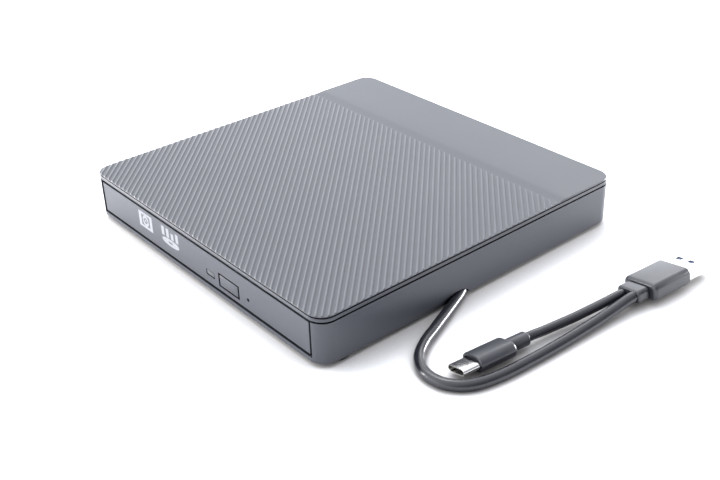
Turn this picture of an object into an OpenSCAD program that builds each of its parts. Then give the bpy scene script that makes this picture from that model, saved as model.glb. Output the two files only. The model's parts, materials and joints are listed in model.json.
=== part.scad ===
// Slim external optical drive with a tray, on a short captive lead with two plugs.
// Millimetres. Origin on the table under the middle of the case, front at -Y, +Z up.

/* [Case] */
// Width of the case, left to right
body_w = 145; // [143:0.5:160]
// Depth of the case, front to rear
body_d = 145; // [144:0.5:160]
// Radius of the upright corners
corner_r = 6.2; // [4:0.1:6.5]
// Thickness of the side walls
wall_t = 2; // [2:0.1:2.4]
// Thickness of the floor
floor_t = 1.8; // [1.4:0.1:1.9]
// Height of the rubber feet
foot_h = 1.5; // [1:0.1:1.5]
// Height of the seam between the two shells
seam_z = 17.5; // [17.4:0.1:17.8]
// Open shadow gap at the seam
seam_gap = 0.6; // [0.3:0.1:0.8]
// Height of the plain part of the top cover
cover_z = 20.1; // [19.9:0.1:21]

/* [Ribbed top] */
// Distance from one diagonal rib to the next
rib_pitch = 2.06; // [1.8:0.01:3]
// Height of the ribs
rib_h = 0.35; // [0.2:0.05:0.6]
// How far back the ribs reach, from the middle of the case
rib_back = 40; // [20:1:44]
// Length of the slope from the ribbed area up to the plain band
slope_l = 5.6; // [3:0.1:8]

/* [Tray] */
// Diameter of the disc that the tray takes
disc_d = 120; // [120:1:120]
// Distance of the spindle in front of the middle of the case
spindle_y = -4.5; // [-5:0.1:-4]
// Direction of the pickup's path, from the right towards the rear
path_angle = 45; // [44:1:46]
// Distance of the lens from the spindle at rest
lens_r = 23; // [23:0.5:24]
// Height of the bezel's lower edge
bezel_z0 = 4.1; // [4:0.1:4.3]

/* [Controls] */
// Middle of the eject button, to the right of the middle of the case
button_x = 20.6; // [18:0.1:24]
// Width and height of the opening for the eject button
button_opening = [11.9, 5.2]; // [4:0.1:14]
// Middle of the light, to the right of the middle of the case
light_x = 9.1; // [6:0.1:10]
// Middle of the hole for the emergency release
release_x = 32.2; // [30:0.1:38]

/* [Lead] */
// Diameter of the lead from the case
lead_d = 4; // [3.4:0.1:4]
// Diameter of the short branch lead
branch_d = 3.4; // [3:0.1:3.6]

/* [Hidden] */
$fn = 48;
eps = 0.01;

abs_black = [0.17, 0.175, 0.19];
plain_black = [0.1, 0.1, 0.11];
steel = [0.72, 0.73, 0.75];
dark_steel = [0.45, 0.46, 0.48];
brass = [0.8, 0.66, 0.35];
board_green = [0.07, 0.3, 0.16];
chip_black = [0.08, 0.08, 0.09];
rubber_black = [0.06, 0.06, 0.065];
pvc_grey = [0.2, 0.205, 0.22];

// Levels
floor_z = foot_h + floor_t;
front_y = -body_d / 2;
side_x = body_w / 2;
cover_under = 18.9;
cover_groove = [19.4, 19.85];
rim_t = 1.1;
tongue_gap = 0.1;
tongue_t = 0.8;
tongue_top = 18.6;

// Posts and screws that hold the shells together, and the feet over them
post_places = [[-67, -62], [67, -62], [-66, 66], [66, 66]];
post_r = 2.7;
post_top = 12.9;
foot_r = 4.5;
foot_pocket = 0.5;
screw_r = 1;
screw_head_r = 1.9;

// Drive case of folded sheet, 128 by 126 by 12.7
case_w = 128;
case_front = -68;
case_rear = 58;
case_bottom = 4.6;
sheet_t = 0.6;
case_top = 17.3;
lid_under = case_top - sheet_t;
pan_top = case_bottom + sheet_t;

// Groove for the lead, in the right side of the floor
groove_x = 67.8;
groove_w = 5;
groove_top = 6.9;
groove_front = -52;
groove_rear = 57;
notch_at = [71.3, -8.9, 2.2];
notch_turn = 25.8;
notch_r = 2.35;
notch_l = 16;

// Bezel and front opening
opening_half = 67.5;
lip_top = 3.5;
bezel_half = 66.9;
bezel_t = 3.8;
bezel_in = 0.4;
bezel_top = seam_z - 0.2;
button_z = 8.6;
button_gap = 0.45;
button_depth = 3.6;
light_size = [5, 2.1];
light_gap = 0.4;
light_z = 8.45;
release_z = 8.5;
release_r = 0.65;

// Socket and plug between the drive and the bridge board
socket_x0 = -38;
socket_w = 30;
bridge_x0 = -45;
bridge_w = 73;
bridge_y0 = 59.5;
bridge_d = 10;
bridge_z = 4.8;
board_t = 1;

// Tray
tray_half = 59;
tray_front = -68.7;
tray_rear = 56;
deck_z = 12.2;
deck_top = 13.4;
land_top = 15.4;
skirt_t = 1.2;
skirt_z = 6.5;
recess_r = disc_d / 2 + 0.9;
lane_x = 56.5;

// Rails
rail_x0 = 60.2;
rail_x1 = 62.2;
rail_z0 = 9.6;
rail_z1 = 13.4;
rail_wall = 0.5;
rail_front = -62;
rail_len = 110;

// Traverse: r runs along the pickup's path and a across it, both from the spindle
chassis_z = 7.6;
chassis_top = 11.9;
rod_a = 16;
rod_z = 9.4;
rod_r = 1.2;
rod_r0 = -1;
rod_r1 = 60;
screw_a = -21.5;
lead_screw_r = 1.2;
lead_screw_pitch = 3;
motor_r0 = -9;
motor_r1 = 3;
chassis_edge = [[-18, -26], [50, -26], [60.8, -18.6], [65, -12.5], [65, 12.5], [60.8, 18.6], [50, 20.5],
    [-18, 20.5]];
damper_places = [[-20.6, -10], [20, -28.9], [24, 23.4]];
carriage_z0 = 7.7;
carriage_z1 = 11.6;

// Latch
latch_post_at = [56.5, -59.6];
latch_pivot = [52, -44];
latch_swing = 10;
solenoid_y = -50;
solenoid_z = 8.4;

// Spring-loaded rod that pushes the tray out
ejector_x = -1;
ejector_y = 37;
ejector_z = 9.5;

// Main board on the tray
main_board_z = 7;
main_board_edge = [[-56, -62], [36, -62], [36, -56], [8, -56], [8, -54], [-42, -6], [-42, 2],
    [-20, 24], [-20, 46], [-56, 46]];

// Leads: routes along the middle of each lead, from where it leaves the gland or the strain relief
lead_route = [[67.8, 42, 4.4], [67.8, 36, 4.4], [67.8, 28, 4.4], [67.8, 20, 4.3], [67.8, 12, 3.9],
    [67.8, 5, 3.1], [68.2, -1, 2.4], [69.8, -6, 2.2], [72, -10, 2.1], [74.4, -15.5, 2],
    [77.6, -23, 2], [81, -31, 2], [84.2, -38.5, 2], [89, -45.5, 2], [96, -49.6, 2], [104, -49, 2],
    [110, -43.5, 2], [112.9, -34, 2], [114.2, -20.5, 2.1], [114.9, -4, 2.3], [115.2, 9.5, 2.8],
    [115.35, 16, 3.3], [115.5, 22, 3.9], [115.68, 27, 4.5], [115.86, 29.84, 4.7]];
branch_route = [[111.34, 30.16, 3.9], [111.15, 27.3, 3.95], [110.7, 22, 3.8], [109.9, 15, 3.5],
    [108.9, 7, 3.2], [107.9, 0, 3.1], [107.1, -7, 3.3], [106.7, -11, 3.65], [106.4, -14, 3.7]];
usb_a_at = [113.6, 30, 4.3];
usb_a_turn = [0, -10, -4];
usb_c_at = [106.4, -14, 3.7];
usb_c_turn = [0, -15, -6];

// ---- shapes that repeat ----

// Rectangle with round corners, centred
module rounded_rect(w, d, r) {
    square([w - 2 * r, d], center = true);
    square([w, d - 2 * r], center = true);
    for (sx = [-1, 1], sy = [-1, 1])
        translate([sx * (w / 2 - r), sy * (d / 2 - r)]) circle(r);
}

// Upright block with round upright corners
module rounded_block(w, d, r, h) {
    linear_extrude(h) rounded_rect(w, d, r);
}

// Block whose long edges are round, running forward from y = 0, centred on X and Z
module round_bar(w, h, r, len) {
    rotate([90, 0, 0]) linear_extrude(len) rounded_rect(w, h, r);
}

// Places its children in the traverse's own frame, x along the pickup's path
module on_traverse() {
    translate([0, spindle_y, 0]) rotate([0, 0, path_angle]) children();
}

// Cylinder along the pickup's path at a, z, from r0 to r1
module path_rod(a, z, r0, r1, radius) {
    translate([r0, a, z]) rotate([0, 90, 0]) cylinder(h = r1 - r0, r = radius);
}

// Part of the traverse that stays clear of the tray's right and rear walls
module traverse_limits() {
    translate([-50, -60, 0]) cube([50 + 55.2, 60 + 53.2, 30]);
}

function unit(v) = v / norm(v);

// Point at t in one span of a smooth curve through p1 and p2
function span_point(p0, p1, p2, p3, t) =
    0.5 * (2 * p1 + (p2 - p0) * t + (2 * p0 - 5 * p1 + 4 * p2 - p3) * t * t
    + (3 * p1 - p0 - 3 * p2 + p3) * t * t * t);

// Smooth curve through the points of a route, with n steps to a span
function smooth(route, n) = let (last = len(route) - 1) concat(
    [for (i = [0:last - 1], k = [0:n - 1])
        span_point(route[max(i - 1, 0)], route[i], route[i + 1], route[min(i + 2, last)], k / n)],
    [route[last]]);

// Direction of a route at its point i
function heading(p, i) = unit(p[min(i + 1, len(p) - 1)] - p[max(i - 1, 0)]);

// Ring of points round one point of a route
function ring(at, dir, r, sides) =
    let (side = unit(cross(dir, [0, 0, 1])), up = cross(side, dir))
    [for (k = [0:sides - 1]) at + r * (cos(360 * k / sides) * side + sin(360 * k / sides) * up)];

// Round tube along a route, closed at both ends
module tube(route, diameter, sides, steps) {
    p = smooth(route, steps);
    n = len(p);
    points = [for (i = [0:n - 1]) each ring(p[i], heading(p, i), diameter / 2, sides)];
    walls = [for (i = [0:n - 2], k = [0:sides - 1])
        let (a = i * sides + k, b = i * sides + (k + 1) % sides) [a, b, b + sides, a + sides]];
    start = [for (k = [0:sides - 1]) sides - 1 - k];
    end = [for (k = [0:sides - 1]) (n - 1) * sides + k];
    polyhedron(points, concat([start], walls, [end]));
}

// ---- outer case ----

// Ring that stands on the side walls and closes the seam from inside
module seam_tongue() {
    inset = rim_t + tongue_gap;
    translate([0, 0, seam_z - 0.5]) difference() {
        rounded_block(body_w - 2 * inset, body_d - 2 * inset, corner_r - inset, tongue_top - seam_z + 0.5);
        translate([0, 0, -1]) rounded_block(body_w - 2 * (inset + tongue_t), body_d - 2 * (inset + tongue_t),
            corner_r - inset - tongue_t, 5);
    }
}

module bottom_shell() {
    color(abs_black) difference() {
        union() {
            difference() {
                translate([0, 0, foot_h]) rounded_block(body_w, body_d, corner_r, seam_z - foot_h);
                translate([0, 0, floor_z]) rounded_block(body_w - 2 * wall_t, body_d - 2 * wall_t,
                    corner_r - wall_t, 30);
            }
            seam_tongue();
            for (p = post_places)
                translate([p[0], p[1], floor_z - eps]) cylinder(h = post_top - floor_z, r = post_r);
            // walls and roof of the groove
            translate([groove_x - groove_w / 2 - 1, groove_front - 1.2, floor_z - eps])
                cube([side_x - groove_x + groove_w / 2, groove_rear - groove_front + 2.4,
                    groove_top + 1.2 - floor_z]);
            // rests under the drive and beside it
            for (y = [-45, 40]) translate([-55, y - 1.5, floor_z - eps]) cube([110, 3, 1.2]);
            for (y = [-30, 20]) translate([-66, y - 2, floor_z - eps]) cube([1.8, 4, 8]);
            // bosses under the bridge board and the bracket
            for (x = [bridge_x0 + 4, bridge_x0 + bridge_w - 4])
                translate([x, bridge_y0 + bridge_d / 2, floor_z - eps])
                    cylinder(h = bridge_z - floor_z, r = 2.2);
        }
        // front opening
        translate([-opening_half, front_y - 1, lip_top]) cube([2 * opening_half, 1 + bezel_t + 0.6, 30]);
        // groove, its notch in the right wall
        translate([groove_x - groove_w / 2, groove_front, -1])
            cube([groove_w, groove_rear - groove_front, groove_top + 1]);
        translate(notch_at) rotate([0, 0, notch_turn]) {
            rotate([90, 0, 0]) cylinder(h = notch_l, r = notch_r, center = true);
            translate([-notch_r, -notch_l / 2, -10]) cube([2 * notch_r, notch_l, 10]);
        }
        // way through the groove's end for the wires
        translate([groove_x, groove_rear - 1, 4.4]) rotate([-90, 0, 0]) cylinder(h = 4, r = 1.6);
        // feet and screws
        for (p = post_places) translate([p[0], p[1], 0]) {
            cylinder(h = foot_h + foot_pocket, r = foot_r + 0.1);
            cylinder(h = 3.6, r = 2.1);
            cylinder(h = 20, r = screw_r + 0.15);
        }
        // vents in the floor
        for (i = [-4:4]) translate([i * 5 - 0.75, -12, 0]) cube([1.5, 22, 10]);
        // hole for the bracket's screw
        translate([46, 63, floor_z - 1.2]) cylinder(h = 3, r = 0.8);
    }
}

// Outline across the ribs, each a round-topped ridge with a flat strip beside it
function rib_outline(n) = concat([[-n * rib_pitch, -1]],
    [for (i = [-n:n - 1], k = [0:4])
        [(i + [0, 0.17, 0.29, 0.41, 0.58][k]) * rib_pitch, rib_h * [0, 0.76, 1, 0.76, 0][k]]],
    [[n * rib_pitch, 0], [n * rib_pitch, -1]]);

module top_cover() {
    ribs = ceil((body_w + body_d) / 2 / sqrt(2) / rib_pitch) + 1;
    base_z = seam_z + seam_gap;
    color(abs_black) difference() {
        union() {
            translate([0, 0, base_z]) rounded_block(body_w, body_d, corner_r, cover_z - base_z);
            // plain band at the rear, with the slope in front of it
            intersection() {
                translate([0, 0, cover_z - 0.5]) rounded_block(body_w - 2, body_d - 2, corner_r - 1, 2);
                rotate([90, 0, 90]) translate([0, 0, -body_w / 2]) linear_extrude(body_w)
                    polygon([[rib_back, cover_z - 0.6], [rib_back, cover_z],
                        [rib_back + slope_l, cover_z + rib_h], [body_d / 2 - 1.2, cover_z + rib_h],
                        [body_d / 2, cover_z], [body_d / 2, cover_z - 0.6]]);
            }
            intersection() {
                translate([0, 0, cover_z - 0.5]) rounded_block(body_w - 2, body_d - 2, corner_r - 1, 2);
                translate([-body_w / 2, front_y, cover_z - 0.4]) cube([body_w, rib_back - front_y, 2]);
                translate([0, 0, cover_z]) rotate([0, 0, -45]) rotate([90, 0, 90])
                    translate([0, 0, -body_w * 0.75]) linear_extrude(body_w * 1.5) rib_profile(ribs);
            }
        }
        // fine groove round the side, just under the ribs
        translate([0, 0, cover_groove[0]]) difference() {
            rounded_block(body_w + 2, body_d + 2, corner_r + 1, cover_groove[1] - cover_groove[0]);
            translate([0, 0, -1]) rounded_block(body_w - 1, body_d - 1, corner_r - 0.5, 3);
        }
        translate([0, 0, base_z - 1]) difference() {
            rounded_block(body_w - 2 * rim_t, body_d - 2 * rim_t, corner_r - rim_t,
                cover_under - base_z + 1);
            for (p = post_places) translate([p[0], p[1], -1]) cylinder(h = 20, r = post_r);
        }
    }
    color(abs_black) for (p = post_places) translate([p[0], p[1], post_top + 0.1]) difference() {
        cylinder(h = cover_under - post_top + 0.1, r = post_r - 0.2);
        translate([0, 0, -1]) cylinder(h = 5.5, r = screw_r + 0.03);
    }
}

module rib_profile(n) {
    polygon(rib_outline(n));
}

module rubber_feet() {
    color(rubber_black) for (p = post_places) translate([p[0], p[1], 0]) {
        cylinder(h = foot_h + foot_pocket, r = foot_r);
    }
}

module shell_screws() {
    color(dark_steel) for (p = post_places) translate([p[0], p[1], 2.2]) {
        cylinder(h = 1.3, r = screw_head_r);
        cylinder(h = 14.5, r = screw_r);
    }
}

// ---- electronics in the rear bay ----

module bridge_board() {
    color(board_green) translate([bridge_x0, bridge_y0, bridge_z]) difference() {
        cube([bridge_w, bridge_d, board_t]);
        for (x = [4, bridge_w - 4]) translate([x, bridge_d / 2, -1]) cylinder(h = 3, r = 0.9);
    }
}

module bridge_chips() {
    color(chip_black) translate([0, bridge_y0, bridge_z + board_t]) {
        translate([-2, 1.2, 0]) cube([7.6, 7.6, 1]);
        translate([9, 2, 0]) cube([4, 5, 1.4]);
    }
    color(steel) translate([14.6, bridge_y0 + 2.6, bridge_z + board_t]) cube([3.2, 5, 1.1]);
}

module bridge_capacitors() {
    color(steel) for (x = [19, 19 + 2.4]) translate([x, bridge_y0 + 7.4, bridge_z + board_t])
        cube([1.6, 1.8, 1.6]);
    color(brass) for (x = [-4.6, 6.8])
        translate([x, bridge_y0 + 2, bridge_z + board_t]) cube([1.2, 3.4, 1.2]);
}

module bridge_plug() {
    color(plain_black) {
        translate([socket_x0, 58.3, bridge_z + board_t]) cube([socket_w, 5, 5]);
        translate([socket_x0 + 2, 54.6, 8]) cube([socket_w - 4, 3.8, 1]);
    }
}

module usb_wires() {
    color("firebrick") for (i = [0:3]) let (dy = i * 1.5, dz = i * 0.15)
        tube([[67.4 + i * 0.2, 58.4, 4 + i * 0.3], [62, 61 + dy * 0.4, 5.7 + dz], [45, 61.2 + dy, 6.8],
            [30, 60.8 + dy * 1.2, 6.9], [25.6, 60.8 + dy * 1.2, 6.3]], 0.8, 8, 2);
}

module drive_bracket() {
    color(steel) difference() {
        union() {
            translate([40, case_rear + 0.2, floor_z]) cube([12, 8, 0.8]);
            translate([40, case_rear + 0.2, floor_z]) cube([12, 0.8, 8.5]);
        }
        translate([46, 63, 0]) cylinder(h = 9, r = 1);
        translate([46, case_rear - 1, 9]) rotate([-90, 0, 0]) cylinder(h = 4, r = 1);
    }
}

module bracket_screws() {
    color(dark_steel) {
        translate([46, 63, floor_z + 0.8]) {
            cylinder(h = 1.1, r = 1.7);
            translate([0, 0, -1.8]) cylinder(h = 2.5, r = 0.75);
        }
        translate([46, case_rear + 1, 9]) rotate([-90, 0, 0]) {
            cylinder(h = 1.1, r = 1.7);
            translate([0, 0, -2.2]) cylinder(h = 2.5, r = 0.75);
        }
    }
}

module cable_gland() {
    color(pvc_grey) translate([groove_x, 0, 4.4]) difference() {
        union() {
            translate([0, groove_rear - 0.2, 0]) round_bar(groove_w - 0.2, 4.8, 1, 5);
            translate([0, 52.5, 0]) rotate([90, 0, 0]) cylinder(h = 10.5, r1 = 2.4, r2 = lead_d / 2 + 0.1);
        }
        translate([0, 58, 0]) rotate([90, 0, 0]) cylinder(h = 3, r = 1.2);
    }
}

// ---- drive case ----

module drive_pan() {
    inner = case_w - 2 * sheet_t;
    depth = case_rear - case_front;
    color(steel) difference() {
        union() {
            difference() {
                translate([-case_w / 2, case_front, case_bottom])
                    cube([case_w, depth, lid_under - case_bottom]);
                translate([-inner / 2, case_front - 1, pan_top]) cube([inner, depth + 1 - sheet_t, 20]);
            }
            // ears that take the lid's screws
            for (sx = [-1, 1], y = [case_front + 6, case_rear - 8])
                translate([sx * 61.8 - 1.9, y - 3, lid_under - sheet_t]) cube([3.8, 6, sheet_t]);
        }
        translate([socket_x0 - 0.5, case_rear - 2, 5.8]) cube([socket_w + 1, 4, 5.2]);
        translate([46, case_rear - 2, 9]) rotate([-90, 0, 0]) cylinder(h = 4, r = 0.8);
        for (sx = [-1, 1], y = [case_front + 6, case_rear - 8])
            translate([sx * 61.8, y, lid_under - 2]) cylinder(h = 4, r = 0.7);
    }
}

module drive_lid() {
    color(steel) difference() {
        translate([-case_w / 2, case_front, lid_under]) cube([case_w, case_rear - case_front, sheet_t]);
        for (sx = [-1, 1], y = [case_front + 6, case_rear - 8])
            translate([sx * 61.8, y, lid_under - 1]) cylinder(h = 4, r = 0.9);
    }
}

module drive_lid_screws() {
    color(dark_steel) for (sx = [-1, 1], y = [case_front + 6, case_rear - 8])
        translate([sx * 61.8, y, case_top]) {
            cylinder(h = 0.5, r = 1.4);
            translate([0, 0, -1.3]) cylinder(h = 1.4, r = 0.65);
        }
}

// Plastic guide on the right side, mirrored for the left
module rail_guide() {
    gap = 0.15;
    color(plain_black) translate([0, rail_front, 0]) difference() {
        translate([60.4, 0, rail_z0 - 1]) cube([2.9, 114, rail_z1 - rail_z0 + 2]);
        translate([60, -1, rail_z0 - gap]) cube([rail_x1 + gap - 60, 116, rail_z1 - rail_z0 + 2 * gap]);
    }
}

module left_rail_guide() {
    mirror([1, 0, 0]) rail_guide();
}

module right_rail_guide() {
    rail_guide();
}

module interface_board() {
    color(board_green) translate([-42, 44, 5.3]) cube([38, 13.3, 0.8]);
}

module interface_socket() {
    color(plain_black) translate([socket_x0, 50, 6.1]) difference() {
        cube([socket_w, 7.3, 4.3]);
        translate([1.8, 4, 1.7]) cube([socket_w - 3.6, 5, 1.4]);
    }
}

module latch_post() {
    color(steel) translate([latch_post_at[0], latch_post_at[1], pan_top]) cylinder(h = 2.8, r = 1);
}

// Folded once under the tray, with the fold towards the front
module flat_flex_cable() {
    color([0.85, 0.83, 0.76]) translate([-32, 0, 0]) rotate([90, 0, 90]) linear_extrude(18) {
        translate([-14, 5.28]) square([58, 0.15]);
        translate([-14, 5.95]) square([42, 0.15]);
        difference() {
            translate([-14, 5.69]) circle(0.41);
            translate([-14, 5.69]) circle(0.26);
            translate([-14, 5]) square([2, 2]);
        }
    }
}

// ---- rails ----

module slide_rail() {
    color(steel) translate([0, rail_front, 0]) difference() {
        translate([rail_x0, 0, rail_z0]) cube([rail_x1 - rail_x0, rail_len, rail_z1 - rail_z0]);
        translate([rail_x0 - 1, -1, rail_z0 + rail_wall])
            cube([rail_x1 - rail_x0 + 1 - rail_wall, rail_len + 2, rail_z1 - rail_z0 - 2 * rail_wall]);
    }
}

module left_rail() {
    mirror([1, 0, 0]) slide_rail();
}

module right_rail() {
    slide_rail();
}

// ---- tray ----

module tray_frame() {
    len = tray_rear - tray_front;
    color(plain_black) difference() {
        union() {
            // deck, and the lands round the disc
            translate([-tray_half, tray_front, deck_z]) cube([2 * tray_half, len, land_top - deck_z]);
            // skirt
            difference() {
                translate([-tray_half, tray_front, skirt_z])
                    cube([2 * tray_half, len, deck_z - skirt_z + eps]);
                translate([-tray_half + skirt_t, tray_front + skirt_t, 0])
                    cube([2 * (tray_half - skirt_t), len - 2 * skirt_t, deck_z]);
            }
            // noses that run in the rails
            for (sx = [-1, 1]) translate([sx * (tray_half + 1.2) - 1.3, rail_front + 2, 10.3])
                cube([2.6, 114, 2.4]);
            // pivot of the latch lever
            translate([latch_pivot[0], latch_pivot[1], skirt_z + 0.1])
                cylinder(h = deck_z - skirt_z, r = 1);
            // pegs that the dampers sit on
            on_traverse() for (p = damper_places) translate([p[0], p[1], 8.3])
                cylinder(h = deck_z - 8.3 + eps, r = 1.5);
        }
        // disc recess
        translate([0, spindle_y, deck_top]) cylinder(h = 5, r = recess_r, $fn = 96);
        // way for the finger, front and rear of the disc
        translate([-9, tray_front + 3, deck_top - 0.01]) cube([18, 12, 5]);
        // window over the traverse
        intersection() {
            on_traverse() translate([0, 0, 12]) linear_extrude(6) polygon([[-18.8, -26.8], [50.4, -26.8],
                [61.6, -19], [66, -12.9], [66, 12.9], [61.6, 19], [50.4, 21.3], [-18.8, 21.3]]);
            translate([-50, -60, 0]) cube([50 + 56, 60 + 54, 30]);
        }
        // room for the socket and for the latch post at the rear
        translate([socket_x0 - 2, tray_rear - 7, 0]) cube([socket_w + 4, 9, deck_z]);
        translate([lane_x - 1.4, 40, 0]) cube([2.6, 20, 8.6]);
        // hole for the ejector rod
        translate([ejector_x, tray_rear - 3, ejector_z]) rotate([-90, 0, 0]) cylinder(h = 5, r = 1.4);
        // way through the front for the button, the light and the release pin
        translate([button_x - 6.3, tray_front - 1, 6]) cube([12.6, 3, 5.6]);
        translate([light_x - 1.6, tray_front - 1, 7]) cube([3.2, 3, 3]);
        translate([release_x, tray_front - 1, release_z]) rotate([-90, 0, 0]) cylinder(h = 4, r = 0.9);
        // screw holes in the damper pegs
        on_traverse() for (p = damper_places) translate([p[0], p[1], 7]) cylinder(h = 4.4, r = 0.7);
    }
}

module front_bezel() {
    color(abs_black) difference() {
        intersection() {
            translate([-bezel_half, front_y + bezel_in, bezel_z0])
                cube([2 * bezel_half, bezel_t - bezel_in - 0.05, bezel_top - bezel_z0]);
            rounded_block(body_w, body_d, corner_r, 30);
        }
        translate([button_x - button_opening[0] / 2, front_y - 1, button_z - button_opening[1] / 2])
            cube([button_opening[0], bezel_t + 2, button_opening[1]]);
        translate([light_x - light_size[0] / 2, front_y - 1, light_z - light_size[1] / 2])
            cube([light_size[0], bezel_t + 2, light_size[1]]);
        translate([release_x, front_y - 1, release_z]) rotate([-90, 0, 0])
            cylinder(h = bezel_t + 2, r = release_r);
        // pocket that lightens the back, step behind the upper edge
        translate([-60, front_y + 2, bezel_z0 + 2]) cube([60, bezel_t, bezel_top - bezel_z0 - 4]);
        translate([-body_w / 2, front_y + bezel_in + 0.5, bezel_top - 1.6]) cube([body_w, bezel_t, 3]);
    }
}

module light_pipe() {
    color([0.9, 0.92, 0.9]) {
        // sits against the right and upper sides of its window
        translate([light_x - light_size[0] / 2 + light_gap, front_y + bezel_in + 0.05,
            light_z - light_size[1] / 2 + light_gap])
            cube([light_size[0] - light_gap - 0.1, 3.2, light_size[1] - light_gap - 0.1]);
        translate([light_x - 1.3, front_y + 3.6, light_z - 0.9]) cube([2.6, 6.3, 1.8]);
    }
}

module pickup_chassis() {
    t = 1.5;
    color(dark_steel) intersection() {
        traverse_limits();
        on_traverse() difference() {
            union() {
                difference() {
                    translate([0, 0, chassis_z])
                        linear_extrude(chassis_top - chassis_z) polygon(chassis_edge);
                    translate([0, 0, chassis_z + 0.8]) linear_extrude(10) polygon([[-18 + t, -26 + t],
                        [50 - t, -26 + t], [60.8 - t, -18.6 + t], [65 - t, -12.5], [65 - t, 12.5],
                        [60.8 - t, 18.6 - t], [50 - t, 20.5 - t], [-18 + t, 20.5 - t]]);
                }
                // holders of the guide rods
                for (s = [-1, 1]) {
                    translate([-2, s * rod_a - 2.1, chassis_z]) cube([3, 4.2, chassis_top - chassis_z]);
                    translate([58.4, s * rod_a - 2.1, chassis_z]) cube([2.2, 4.2, chassis_top - chassis_z]);
                }
                // bearing at the far end of the lead screw
                translate([52.2, screw_a - 1.8, chassis_z]) cube([1.8, 3.6, chassis_top - chassis_z]);
                // eyes for the dampers
                for (p = damper_places) translate([p[0], p[1], 9.2]) cylinder(h = 1.4, r = 3.6);
            }
            // window that the carriage travels in
            translate([8.8, -24, 0]) cube([50 - 8.8, 43.2, 20]);
            translate([8.8, -18.8, 0]) cube([58.2 - 8.8, 37.6, 20]);
            translate([12.5, -13.6, 0]) cube([63.2 - 12.5, 27.2, 20]);
            // seat of the spindle motor
            cylinder(h = 20, r = 13.8);
            // room for the feed motor
            translate([motor_r0 - 0.2, screw_a - 4.2, 0]) cube([motor_r1 - motor_r0 + 0.4, 8.4, 20]);
            translate([0, screw_a - 1.6, 0]) cube([52, 3.2, 20]);
            for (s = [-1, 1]) path_rod(s * rod_a, rod_z, rod_r0, rod_r1, rod_r + 0.01);
            path_rod(screw_a, rod_z, 50, 53.6, 0.65);
            for (p = damper_places) translate([p[0], p[1], 8]) {
                cylinder(h = 6, r = 2.6);
                translate([0, 0, 2.6]) cylinder(h = 4, r = 3.4);
            }
        }
    }
}

module chassis_cover() {
    color(plain_black) intersection() {
        traverse_limits();
        on_traverse() difference() {
            translate([0, 0, 12.3]) linear_extrude(0.4) polygon(chassis_edge);
            cylinder(h = 20, r = 13.4);
            translate([13, -8, 0]) cube([50.5, 16, 20]);
            for (p = damper_places) translate([p[0], p[1], 0]) cylinder(h = 20, r = 1.9);
        }
    }
}

module bottom_cover() {
    color(steel) difference() {
        intersection() {
            translate([-50, -60, 0]) cube([50 + 47, 60 + 49, 30]);
            on_traverse() translate([0, 0, 6.3]) linear_extrude(0.4) polygon(chassis_edge);
        }
        on_traverse() {
            cylinder(h = 20, r = 5);
            for (p = damper_places) translate([p[0], p[1], 0]) cylinder(h = 20, r = 2.4);
        }
    }
}

module guide_rods() {
    color(steel) on_traverse() for (s = [-1, 1]) path_rod(s * rod_a, rod_z, rod_r0, rod_r1, rod_r);
}

module feed_motor() {
    color(steel) on_traverse() difference() {
        intersection() {
            path_rod(screw_a, rod_z, motor_r0, motor_r1, 4);
            translate([motor_r0, screw_a - 5, rod_z - 2.4]) cube([motor_r1 - motor_r0, 10, 4.8]);
        }
        path_rod(screw_a, rod_z, motor_r0 + 4, motor_r1 + 1, 0.65);
    }
}

module spindle_base() {
    color(dark_steel) on_traverse() {
        difference() {
            union() {
                translate([0, 0, 6.85]) cylinder(h = 0.7, r = 13.6);
                translate([0, 0, 6.85]) cylinder(h = 3.2, r = 2.2);
            }
            translate([0, 0, 7.1]) cylinder(h = 5, r = 1.03);
        }
        translate([-17, -5, 6.85]) cube([5, 10, 0.7]);
    }
}

module rubber_dampers() {
    color(rubber_black) on_traverse() for (p = damper_places) translate([p[0], p[1], 8.7]) difference() {
        union() {
            cylinder(h = 2.4, r = 2.55);
            translate([0, 0, 1.95]) cylinder(h = 1, r = 3.3);
        }
        translate([0, 0, -1]) cylinder(h = 5, r = 1.55);
    }
}

module damper_screws() {
    color(dark_steel) on_traverse() for (p = damper_places) translate([p[0], p[1], 7.4]) {
        cylinder(h = 0.85, r = 2.1);
        cylinder(h = 3.6, r = 0.65);
    }
}

module main_board() {
    color(board_green) translate([0, 0, main_board_z]) linear_extrude(board_t) difference() {
        polygon(main_board_edge);
        for (p = [[-53, -59], [-53, 43], [30, -59]]) translate(p) circle(1.1);
    }
}

module main_board_chips() {
    color(chip_black) translate([0, 0, main_board_z + board_t]) {
        translate([-40, -46, 0]) cube([14, 14, 1.4]);
        translate([-52, -26, 0]) cube([10, 10, 1.2]);
        translate([-20, -54, 0]) cube([8, 6, 1.1]);
        translate([-52, 4, 0]) cube([8, 12, 1.1]);
        translate([-38, 30, 0]) cube([9, 6, 1.1]);
    }
    color([0.85, 0.83, 0.76]) {
        translate([-32, 27.9, 6.2]) cube([18, 3.5, 0.8]);
        translate([-12, -61, main_board_z + board_t]) cube([16, 4, 1.5]);
        translate([-52, 22, main_board_z + board_t]) cube([4, 14, 1.5]);
    }
}

module eject_switch() {
    color(steel) translate([button_x - 2.5, -61.9, main_board_z + board_t]) cube([5, 4, 2]);
    color(plain_black) translate([button_x, -61.9, main_board_z + board_t + 1]) rotate([90, 0, 0])
        cylinder(h = 1.2, r = 0.9);
}

module solenoid() {
    color("peru") translate([36.5, solenoid_y - 3.6, solenoid_z - 1.8]) difference() {
        cube([9.5, 7.2, 5]);
        translate([2, 3.6, 1.8]) rotate([0, 90, 0]) cylinder(h = 10, r = 1.05);
    }
}

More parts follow.
